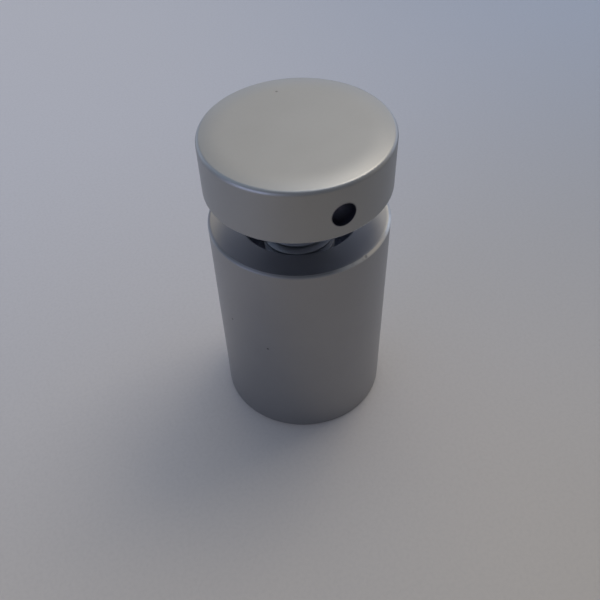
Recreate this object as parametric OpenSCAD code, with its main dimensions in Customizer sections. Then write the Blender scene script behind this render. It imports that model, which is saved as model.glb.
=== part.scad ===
// Glass panel standoff: a round cap on a threaded stud that screws into a round barrel.
// The barrel stands on its wall face at z = 0, with the common axis along +Z. The panel is
// clamped in the gap between the barrel's seat face and the underside of the cap.

/* [Barrel] */
// Outer diameter of the barrel
barrel_d = 30; // [26:0.5:50]
// Length of the barrel, which holds the panel off the wall
barrel_h = 40; // [34:1:80]
// Chamfer on the rim of the panel seat and on the rim of the wall face
barrel_chamfer = 0.4; // [0.2:0.1:1]
// Diameter of the recess in the seat face, which takes the panel's bush
recess_d = 19.5; // [16:0.5:22]
// Depth of the recess
recess_depth = 12; // [6:0.5:16]
// Chamfer on the mouth of the recess
recess_chamfer = 0.3; // [0.1:0.1:0.8]
// Thickness of the web at the wall end
web_h = 6; // [4:0.5:10]
// Diameter of the wall screw's hole in the web
screw_hole_d = 5.5; // [4:0.1:6.5]
// Diameter of the countersink for the wall screw's head
screw_head_d = 10.4; // [7:0.1:11]

/* [Cap] */
// Outer diameter of the cap
cap_d = 30; // [26:0.5:50]
// Thickness of the cap in the middle
cap_h = 9.5; // [9:0.1:16]
// Width of the band round the rim of the cap's face that is crowned
cap_crown_w = 4; // [2:0.5:6]
// Radius of the crown, in section
cap_crown_r = 19; // [15:1:60]
// Radius of the cap's upper edge
cap_edge_r = 0.7; // [0.3:0.1:1.5]
// Radius of the cap's lower edge
cap_lower_edge_r = 0.4; // [0.2:0.1:0.8]
// Depth of the tapped socket in the cap's underside
socket_depth = 7; // [5:0.5:7]

/* [Tommy bar hole] */
// Diameter of the blind hole in the cap's side
tommy_hole_d = 3.8; // [2:0.1:4.5]
// Depth of the hole's straight wall
tommy_hole_depth = 6.5; // [3:0.5:6.5]
// Height of the hole's axis above the cap's underside
tommy_hole_rise = 4; // [3:0.1:5]
// Included angle of the drill's point
drill_point_angle = 118; // [90:1:140]

/* [Stud] */
// Nominal diameter of the stud's thread
stud_d = 12; // [10:0.5:12]
// Length of the stud
stud_length = 35; // [32:0.5:38]
// Chamfer on each end of the stud
stud_chamfer = 1; // [0.5:0.1:1.5]

/* [Fits] */
// Gap between the seat face and the cap, which is the panel's thickness
panel_gap = 6.6; // [1:0.1:12]
// Radial clearance between the stud and each tapped hole
thread_clearance = 0.05; // [0.02:0.01:0.1]
// Gap between the stud's upper end and the bottom of its socket
stud_end_gap = 0.3; // [0.1:0.1:1]
// Chamfer on the mouth of each tapped hole
thread_mouth_chamfer = 0.6; // [0.2:0.1:1]

/* [Hidden] */
$fn = 96;
cut = 1; // how far a cutter runs past the face that it opens
thread_r = stud_d / 2;
tapped_r = thread_r + thread_clearance;
cap_z = barrel_h + panel_gap; // height of the cap's underside
stud_top_z = cap_z + socket_depth - stud_end_gap;
stud_bottom_z = stud_top_z - stud_length;
countersink_h = (screw_head_d - screw_hole_d) / 2; // a 90 degree countersink

// A hole of radius r from z = bottom up to z = mouth, with a 45 degree chamfer at its mouth.
module hole_from_above(r, bottom, mouth, chamfer) {
    translate([0, 0, bottom]) cylinder(r = r, h = mouth - bottom + cut);
    translate([0, 0, mouth - chamfer])
        cylinder(r1 = r, r2 = r + chamfer + cut, h = chamfer + cut);
}

// The aluminium barrel: a turned bar with a recessed seat, a tapped bore and a pierced web.
module barrel() {
    r = barrel_d / 2;
    recess_z = barrel_h - recess_depth;
    color("silver") difference() {
        rotate_extrude() polygon([
            [0, 0],
            [r - barrel_chamfer, 0],
            [r, barrel_chamfer],
            [r, barrel_h - barrel_chamfer],
            [r - barrel_chamfer, barrel_h],
            [0, barrel_h]
        ]);
        hole_from_above(recess_d / 2, recess_z, barrel_h, recess_chamfer);
        hole_from_above(tapped_r, web_h, recess_z, thread_mouth_chamfer);
        hole_from_above(screw_hole_d / 2, -cut, web_h, countersink_h);
    }
}

// The steel stud: a length of threaded rod with chamfered ends, drawn at its nominal diameter.
module stud() {
    color("gray") rotate_extrude() polygon([
        [0, stud_bottom_z],
        [thread_r - stud_chamfer, stud_bottom_z],
        [thread_r, stud_bottom_z + stud_chamfer],
        [thread_r, stud_top_z - stud_chamfer],
        [thread_r - stud_chamfer, stud_top_z],
        [0, stud_top_z]
    ]);
}

// Half the section of a disc of radius r and height h. Its lower edge is rounded. Its face is flat
// in the middle and crowned over a band round the rim, and the crown runs into the upper edge.
module crowned_disc_section(r, h, lower_r, upper_r, crown_w, crown_r) {
    flat_r = r - crown_w;
    tilt = asin((crown_w - upper_r) / (crown_r - upper_r)); // slope where the crown ends
    edge_z = h - crown_r + (crown_r - upper_r) * cos(tilt); // where the upper edge starts
    square([flat_r, h]);
    translate([0, lower_r]) square([r, edge_z - lower_r]);
    square([r - lower_r, edge_z]);
    translate([r - lower_r, lower_r]) circle(r = lower_r);
    translate([r - upper_r, edge_z]) circle(r = upper_r);
    intersection() {
        translate([flat_r, h - crown_r]) circle(r = crown_r);
        translate([flat_r, edge_z]) square([crown_r * sin(tilt), h]);
    }
}

// The blind hole that takes a tommy bar, drilled into the front of the cap.
module tommy_bar_hole() {
    r = tommy_hole_d / 2;
    point_h = r / tan(drill_point_angle / 2);
    translate([0, -cap_d / 2 + tommy_hole_depth, cap_z + tommy_hole_rise]) {
        rotate([90, 0, 0]) cylinder(r = r, h = tommy_hole_depth + cut);
        rotate([-90, 0, 0]) cylinder(r1 = r, r2 = 0, h = point_h);
    }
}

// The aluminium cap: a turned disc with a tapped socket below and a tommy bar hole in its side.
module cap() {
    color("silver") difference() {
        translate([0, 0, cap_z])
            rotate_extrude()
                crowned_disc_section(
                    cap_d / 2, cap_h, cap_lower_edge_r, cap_edge_r, cap_crown_w, cap_crown_r
                );
        translate([0, 0, cap_z]) mirror([0, 0, 1])
            hole_from_above(tapped_r, -socket_depth, 0, thread_mouth_chamfer);
        tommy_bar_hole();
    }
}

barrel();
stud();
cap();
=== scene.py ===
"""Looks for a glass panel standoff: a satin anodised barrel and cap on a threaded steel stud.

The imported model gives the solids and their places; everything here is in metres in its frame.
"""

import math

import bpy
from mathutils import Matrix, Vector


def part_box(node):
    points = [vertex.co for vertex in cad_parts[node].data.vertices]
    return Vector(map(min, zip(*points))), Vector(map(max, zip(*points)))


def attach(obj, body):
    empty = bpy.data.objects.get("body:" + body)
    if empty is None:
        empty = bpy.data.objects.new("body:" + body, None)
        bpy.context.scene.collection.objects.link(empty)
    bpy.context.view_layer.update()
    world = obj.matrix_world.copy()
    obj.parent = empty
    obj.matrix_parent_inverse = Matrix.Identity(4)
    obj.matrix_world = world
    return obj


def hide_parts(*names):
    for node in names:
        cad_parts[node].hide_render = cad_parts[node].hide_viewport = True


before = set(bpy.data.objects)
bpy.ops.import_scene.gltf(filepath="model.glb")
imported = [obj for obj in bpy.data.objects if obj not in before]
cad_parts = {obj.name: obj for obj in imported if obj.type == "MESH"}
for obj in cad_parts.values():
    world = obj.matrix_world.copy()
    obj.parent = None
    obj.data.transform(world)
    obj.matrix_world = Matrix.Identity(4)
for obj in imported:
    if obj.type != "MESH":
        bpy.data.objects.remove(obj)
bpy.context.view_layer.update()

# --- Barrel ----------------------------------------------------------------------------------
# The barrel is turned from aluminium bar, blasted to a fine satin and clear anodised. It stands
# on its wall face. Its seat is a flat ring round a recess, and a tapped bore takes the stud.

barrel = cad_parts["barrel"]
barrel_low, barrel_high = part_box("barrel")
barrel_r = barrel_high.x
seat_z = barrel_high.z


class Signal:
    """An output of a shader node. Sums on it add Math nodes to the same material."""

    def __init__(self, output):
        self.output = output

    def node(self, kind, settings={}, **inputs):
        """Add a node of that kind to this signal's material and return its first output."""
        made = self.output.id_data.nodes.new("ShaderNode" + kind)
        for name, value in settings.items():
            if name == "stops":
                ramp = made.color_ramp.elements
                while len(ramp) < len(value):
                    ramp.new(0.5)
                for stop, (place, shade) in zip(ramp, value):
                    stop.position, stop.color = place, shade
            else:
                setattr(made, name, value)
        for name, value in inputs.items():
            socket = made.inputs[int(name[1:]) if name[1:].isdigit() else name.replace("_", " ")]
            if isinstance(value, Signal):
                self.output.id_data.links.new(value.output, socket)
            else:
                socket.default_value = value
        return Signal(next(s for s in made.outputs if s.enabled))

    def sibling(self, name):
        """Another output of the node that this signal comes from."""
        return Signal(self.output.node.outputs[name])

    def maths(self, operation, *terms, clamp=False):
        inputs = {f"i{n}": term for n, term in enumerate(terms)}
        return self.node("Math", {"operation": operation, "use_clamp": clamp}, **inputs)

    def __add__(self, other):
        return self.maths("ADD", self, other)

    def __sub__(self, other):
        return self.maths("SUBTRACT", self, other)

    def __rsub__(self, other):
        return self.maths("SUBTRACT", other, self)

    def __mul__(self, other):
        return self.maths("MULTIPLY", self, other)

    def __truediv__(self, other):
        return self.maths("DIVIDE", self, other)

    __radd__, __rmul__ = __add__, __mul__

    def between(self, low, high):
        """Rises smoothly from 0 at low to 1 at high."""
        spread = {"interpolation_type": "SMOOTHSTEP"}
        return self.node("MapRange", spread, Value=self, From_Min=low, From_Max=high)


def new_material(name):
    """A material with a principled shader: (material, shader, place on the piece in metres)."""
    material = bpy.data.materials.new(name)
    material.use_nodes = True
    shader = material.node_tree.nodes["Principled BSDF"]
    coordinates = material.node_tree.nodes.new("ShaderNodeTexCoord")
    return material, shader, Signal(coordinates.outputs["Object"])


def connect(material, shader, **signals):
    """Leads each signal to the socket of that name on the material's shader."""
    for name, signal in signals.items():
        material.node_tree.links.new(signal.output, shader.inputs[name.replace("_", " ")])


def blend(share, low, high):
    """Mixes two colours by a share from 0 to 1."""
    return share.node("Mix", {"data_type": "RGBA"}, Factor=share, i6=low, i7=high)


def spot(place, centre, radius):
    """Is 1 at a small mark on a surface and fades to 0 at its radius."""
    away = place.node("VectorMath", {"operation": "DISTANCE"}, i0=place, i1=centre)
    return 1 - away.sibling("Value").between(0.3 * radius, radius)


def axes(place):
    """The three coordinates of a place, each as a signal."""
    parts = place.node("SeparateXYZ", Vector=place)
    return [parts.sibling(name) for name in "XYZ"]


def across(place):
    """Distance from the standoff's axis, bearing round it and height, each as a signal."""
    x, y, z = axes(place)
    squares = x * x + y * y
    return squares.maths("SQRT", squares), y.maths("ARCTAN2", y, x), z


def satin_anodised(name, shade, roughness):
    """Blasted and anodised aluminium: (material, shader, place, colour, roughness, relief)."""
    material, shader, place = new_material(name)
    shader.inputs["Metallic"].default_value = 1.0
    clouds = place.node("TexNoise", Vector=place, Scale=150.0, Detail=3.0)
    grain = place.node("TexNoise", Vector=place, Scale=5200.0, Detail=2.0)
    fine = place.node("TexNoise", Vector=place, Scale=1400.0, Detail=2.0)
    paler, darker = (tuple(part * tone for part in shade) + (1,) for tone in (1.06, 0.94))
    colour = blend(clouds * 0.7 + grain * 0.3, darker, paler)
    rough = roughness + 0.05 * (clouds - 0.5) + 0.06 * (fine - 0.5)
    return material, shader, place, colour, rough, grain * 0.7 + fine * 0.3


def turned_rings(radius):
    """Faint rings round the axis, as a lathe leaves them on a face."""
    return radius.node("TexNoise", {"noise_dimensions": "1D"}, W=radius, Scale=9000.0, Detail=2.0)


def tapped(height, bearing, where):
    """The ridges of the stud's thread in a hole, kept to a share from 0 to 1."""
    turn = height * (2 * math.pi / pitch) - bearing
    return turn.maths("SINE", turn) * where


def rim_patches(place):
    """Uneven patches, in which the anodising is rubbed thin and the seat's painted highlight
    lies.
    """
    return place.node("TexNoise", Vector=place, Scale=900.0, Detail=2.0)


def bumps(place, relief, deep):
    """The fine grain of the satin, with the deeper marks on top of it."""
    fine_bump = place.node("Bump", Height=relief, Strength=0.25, Distance=0.00001)
    return place.node("Bump", Height=deep, Strength=1.0, Distance=0.00035, Normal=fine_bump)


rub_polish = 0.08  # rubbed metal is smoother by this much
rim_inner, rim_outer = barrel_r - 0.0009, barrel_r - 0.0002  # wear rises across this band, and on the seat's rim a painted highlight too

barrel_satin, shader, place, colour, rough, relief = satin_anodised(
    "satin anodised barrel", (0.352, 0.354, 0.368), 0.38
)
radius, bearing, height = across(place)

# the seat and the floor of the recess keep faint rings from turning
inside = 1 - radius.between(barrel_r - 0.0006, barrel_r - 0.0004)
relief = relief + inside * turned_rings(radius) * 0.8

# the tapped bore has the stud's thread cut in it, shown by bump alone. Each bound lies just
# outside the surface that it picks out
bore_r, recess_r, bore_top = 0.0065, 0.0098, seat_z - 0.0121
pitch = 0.00175
in_bore = (1 - radius.between(bore_r, bore_r + 0.0002)) * (1 - height.between(bore_top, seat_z))
thread = tapped(height, bearing, in_bore)

# the anodising is rubbed thin in patches along the rim that stands on the wall. Along the seat's
# rim the paler band is a painted highlight, kept to the side that the light falls on, in patches
# too
edge = radius.between(rim_inner, rim_outer)
upper = height.between(seat_z - 0.0006, seat_z - 0.0002)
lower = 1 - height.between(0.0001, 0.0005)
# the side of the seat's rim that the light falls on, which gets the painted highlight
lit_rim_side = bearing.maths("COSINE", bearing + 0.8).between(0.6, 0.85)
paler_rim = edge * (upper * lit_rim_side + lower * 0.3)
paler_rim = paler_rim * rim_patches(place).between(0.0, 0.5)
# painted shade: a dark line along the seat's outer rim, on the sides away from the light
rim_shade_r = barrel_r - 0.0003
painted_rim_shade = radius.between(barrel_r - 0.0006, rim_shade_r) * (1 - radius.between(rim_shade_r, barrel_r))
colour = blend(painted_rim_shade * upper * (1 - lit_rim_side) * 0.6, colour, (0.1, 0.1, 0.11, 1))
colour = blend(paler_rim * 0.9, colour, (0.66, 0.65, 0.62, 1))
# painted light: within the recess's radius, the recess and the tapped bore are painted a paler,
# bluer tone, with less of it on the thread, for the light that gets down into them
recess = 1 - radius.between(recess_r, recess_r + 0.0001)
recess = recess * (1 - thread.maths("ABSOLUTE", thread))
colour = blend(recess, colour, (0.44, 0.46, 0.52, 1))

# a nick in the seat's rim, and two specks of dirt on the side
nick = spot(place, (0.00452, -0.01409, 0.0399), 0.0004)
specks = spot(place, (-0.01467, -0.00312, 0.0247), 0.0003)
specks = specks + spot(place, (-0.01127, -0.0099, 0.022), 0.0003)
colour = blend(nick * 0.6, colour, (0.2, 0.2, 0.2, 1))
colour = blend(specks * 0.8, colour, (0.08, 0.08, 0.08, 1))

rough = rough - paler_rim * rub_polish
bump = bumps(place, relief, thread - nick * 0.1)
connect(barrel_satin, shader, Base_Color=colour, Roughness=rough, Normal=bump)
barrel.material_slots[0].material = barrel_satin

# --- Stud ------------------------------------------------------------------------------------
# The stud is a length of coarse-threaded steel rod, zinc plated, cut off and chamfered at both
# ends. It is screwed tight into the cap, so it turns with the cap as that is screwed in or out.

stud_low, stud_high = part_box("stud")
thread_r = stud_high.x
root_r = thread_r - 0.6134 * pitch  # the depth of a metric thread on a rod
crest_flat, root_flat = pitch / 8, pitch / 4
flank = (pitch - crest_flat - root_flat) / 2
end_chamfer = 0.001
spare_turns = 2  # swept past each end, and cut off again

# one tooth of the thread, drawn as a line and swept up the rod
bpy.ops.object.select_all(action="DESELECT")
start = (root_r, 0, stud_low.z - spare_turns * pitch)
bpy.ops.mesh.primitive_plane_add(size=pitch, location=start)
stud = bpy.context.object
stud.name = "threaded_stud"
bpy.ops.object.mode_set(mode="EDIT")
bpy.ops.mesh.merge(type="CENTER")
tooth = ((0, root_flat), (thread_r - root_r, flank), (0, crest_flat), (root_r - thread_r, flank))
for out, up in tooth:
    bpy.ops.mesh.extrude_region_move(TRANSFORM_OT_translate={"value": (out, 0, up)})
bpy.ops.object.mode_set(mode="OBJECT")
bpy.ops.object.transform_apply(location=True)
sweep = stud.modifiers.new("thread", "SCREW")
sweep.screw_offset = pitch
sweep.iterations = math.ceil((stud_high.z - stud_low.z) / pitch) + 2 * spare_turns
sweep.steps = sweep.render_steps = 72
bpy.ops.object.modifier_apply(modifier=sweep.name)

# cut off at both ends, and turned down there to a chamfer
bpy.ops.object.mode_set(mode="EDIT")
bpy.ops.mesh.select_all(action="SELECT")
bpy.ops.mesh.remove_doubles(threshold=1e-6)
for level, waste in ((stud_low.z, "clear_inner"), (stud_high.z, "clear_outer")):
    bpy.ops.mesh.select_all(action="SELECT")
    bpy.ops.mesh.bisect(
        plane_co=(0, 0, level), plane_no=(0, 0, 1), use_fill=True, threshold=1e-7, **{waste: True}
    )
bpy.ops.mesh.select_all(action="SELECT")
bpy.ops.mesh.normals_make_consistent(inside=False)
bpy.ops.object.mode_set(mode="OBJECT")
for vertex in stud.data.vertices:
    point = vertex.co
    inset = end_chamfer - min(point.z - stud_low.z, stud_high.z - point.z)
    shrink = (thread_r - max(inset, 0)) / math.hypot(point.x, point.y)
    if shrink < 1:
        point.xy = point.xy * shrink
bpy.ops.object.shade_smooth_by_angle(angle=math.radians(30))

# zinc plate: bluish, mottled, brighter on the rubbed crests and dull down in the roots
zinc, shader, place = new_material("zinc plated steel")
shader.inputs["Metallic"].default_value = 1.0
radius, bearing, height = across(place)
crests = radius.between(thread_r - 0.0004, thread_r)
roots = 1 - radius.between(root_r, root_r + 0.0004)
mottle = place.node("TexNoise", Vector=place, Scale=700.0, Detail=4.0)
marks = {"noise_dimensions": "1D"}
cut = place.node("TexNoise", marks, W=radius + height, Scale=12000.0, Detail=2.0)
colour = blend(mottle, (0.5, 0.53, 0.6, 1), (0.6, 0.62, 0.66, 1))
colour = blend(crests * 0.4, colour, (0.68, 0.69, 0.7, 1))
colour = blend(roots * 0.7, colour, (0.28, 0.3, 0.33, 1))
rough = 0.5 + 0.12 * mottle + 0.08 * roots
bump = place.node("Bump", Height=mottle * 0.4 + cut, Strength=0.4, Distance=0.00001)
connect(zinc, shader, Base_Color=colour, Roughness=rough, Normal=bump)
stud.data.materials.append(zinc)
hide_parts("stud")
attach(stud, "cap")

# --- Cap -------------------------------------------------------------------------------------
# The cap is turned from the same bar and finished like the barrel. Its face is slightly crowned
# towards the rim. A blind hole in its side takes a tommy bar, and a tapped socket holds the stud.

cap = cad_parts["cap"]
cap_low, cap_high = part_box("cap")
cap_satin, shader, place, colour, rough, relief = satin_anodised(
    "satin anodised cap", (0.392, 0.396, 0.4), 0.43
)
radius, bearing, height = across(place)

# the underside keeps faint rings from turning, and the socket its thread
under = 1 - height.between(cap_low.z + 0.0001, cap_low.z + 0.0003)
relief = relief + under * turned_rings(radius) * 0.8
in_socket = (1 - radius.between(bore_r, bore_r + 0.0002)) * (
    1 - height.between(cap_low.z + 0.0068, cap_low.z + 0.0071)
)
thread = tapped(height, bearing, in_socket)

# the anodising is rubbed thin on the lower rim
lower = 1 - height.between(cap_low.z + 0.0001, cap_low.z + 0.0005)
lower = lower * radius.between(rim_inner, rim_outer)
paler_rim = lower * rim_patches(place).between(0.3, 0.7)
colour = blend(paler_rim * 0.5, colour, (0.5, 0.5, 0.49, 1))
# painted light: the underside is painted a paler, bluer tone, for the light that gets into the
# gap below the cap
colour = blend(under, colour, (0.6, 0.64, 0.74, 1))
rough = rough + 0.08 * under

# the tommy bar hole is drilled into the side that faces -Y. A thin ring round its mouth is
# darker.
# Painted light and shade: its wall is painted dark near the mouth and paler and bluer deeper in
hole_z, hole_r = 0.0506, 0.0019
side = place.node("VectorMath", {"operation": "MULTIPLY"}, i0=place, i1=(1, 0, 1))
off = side.node("VectorMath", {"operation": "DISTANCE"}, i0=side, i1=(0, 0, hole_z))
off = off.sibling("Value")
depth = axes(place)[1]
front = 1 - depth.between(-0.009, -0.0085)
mouth = (1 - off.between(hole_r + 0.00005, hole_r + 0.0002)) * front
drilled = (1 - off.between(hole_r, hole_r + 0.00003)) * front
colour = blend(mouth * 0.6, colour, (0.12, 0.12, 0.14, 1))
painted_hole_wall = blend(depth.between(-0.0143, -0.0115), (0.12, 0.12, 0.17, 1), (0.75, 0.77, 0.9, 1))
colour = blend(drilled, colour, painted_hole_wall)

# a speck of dirt on the face
speck = spot(place, (0.00176, 0.01036, cap_high.z), 0.0003)
colour = blend(speck * 0.6, colour, (0.1, 0.1, 0.1, 1))

rough = rough - paler_rim * rub_polish
bump = bumps(place, relief, thread)
connect(cap_satin, shader, Base_Color=colour, Roughness=rough, Normal=bump)
cap.material_slots[0].material = cap_satin

# --- Table and light -------------------------------------------------------------------------
# The standoff stands on a plain pale table under ten soft lamps. The lamps' colours and powers
# and the table's four corner shades come from a least-squares fit, then adjusted: they
# stand for how light falls over the whole table, and aren't measured from real lamps or paint.

bpy.ops.mesh.primitive_plane_add(size=3.0, location=(0, 0, 0))
table = bpy.context.object
table.name = "table"
table_finish, shader, place = new_material("pale table")
x, y, _ = axes(place)
right, back = x.between(-0.07, 0.2), y.between(-0.12, 0.12)
tint = blend(
    back,
    blend(right, (0.602, 0.539, 0.462, 1), (0.339, 0.337, 0.335, 1)),
    blend(right, (0.680, 0.676, 0.723, 1), (0.384, 0.445, 0.576, 1)),
)
fibres = place.node("TexNoise", Vector=place, Scale=1500.0, Detail=3.0)
speckled = blend(fibres.between(0.35, 0.75) * 0.06, tint, (0.2, 0.2, 0.2, 1))
dents = place.node("Bump", Height=fibres, Strength=0.2, Distance=0.00005)
shader.inputs["Roughness"].default_value = 0.5
connect(table_finish, shader, Base_Color=speckled, Normal=dents)
table.data.materials.append(table_finish)

aim_z = 0.03  # about the middle of the standoff


def softbox(name, azimuth, elevation, distance, size, colour, power):
    """A square soft light aimed at the middle of the standoff, with its bearing in degrees."""
    turn, rise = math.radians(azimuth), math.radians(elevation)
    bpy.ops.object.light_add(
        type="AREA",
        location=(
            distance * math.cos(rise) * math.cos(turn),
            distance * math.cos(rise) * math.sin(turn),
            aim_z + distance * math.sin(rise),
        ),
        rotation=(0, math.pi / 2 - rise, turn),
    )
    light = bpy.context.object
    light.name = name
    light.data.size = size
    light.data.color = colour
    light.data.energy = power


softbox("key", 20, 57, 0.8, 0.35, (1.00, 0.85, 0.61), 1.27)
softbox("key_wide", 20, 68, 0.8, 0.6, (0.52, 0.71, 1.00), 0.845)
softbox("right_low", -20, 15, 0.8, 0.5, (1.00, 0.83, 0.63), 0.193)
softbox("back", 65, 35, 0.9, 0.6, (1.00, 0.90, 0.73), 0.439)
softbox("back_high", 70, 60, 0.9, 0.6, (1.00, 0.89, 0.71), 0.424)
softbox("left_near", 140, 50, 0.35, 0.3, (0.50, 0.72, 1.00), 0.091)
softbox("left_front_low", -165, 8, 0.9, 0.7, (0.60, 0.68, 1.00), 1.9)
softbox("back_left_low", 114, 4, 1, 0.8, (0.70, 0.80, 1.00), 1.4)
softbox("back_right_low", 24, 4, 1, 0.8, (0.70, 0.80, 1.00), 1.9)
softbox("back_low", 69, 4, 1, 0.8, (0.70, 0.80, 1.00), 1.05)

world = bpy.data.worlds.new("room")
world.use_nodes = True
world.node_tree.nodes["Background"].inputs["Color"].default_value = (0.180, 0.190, 0.215, 1)
bpy.context.scene.world = world

# --- Camera ----------------------------------------------------------------------------------
# The camera stands about 15 cm from the standoff, in front and a little to its left, and looks
# down on it, so the cap's face, the gap and the side of the barrel all show. Its place and lens
# come from a fit to the standoff's outlines, and so hold for this size of standoff only.

bpy.ops.object.camera_add(
    location=(-0.03885, -0.08217, 0.11538),
    rotation=[math.radians(turn) for turn in (41.035, 3.142, -24.963)],
)
camera = bpy.context.object
camera.data.lens = 42.65
camera.data.sensor_width = 36
camera.data.shift_x = camera.data.shift_y = 0.05
camera.data.clip_start = 0.005
bpy.context.scene.camera = camera
bpy.context.scene.view_settings.view_transform = "Standard"
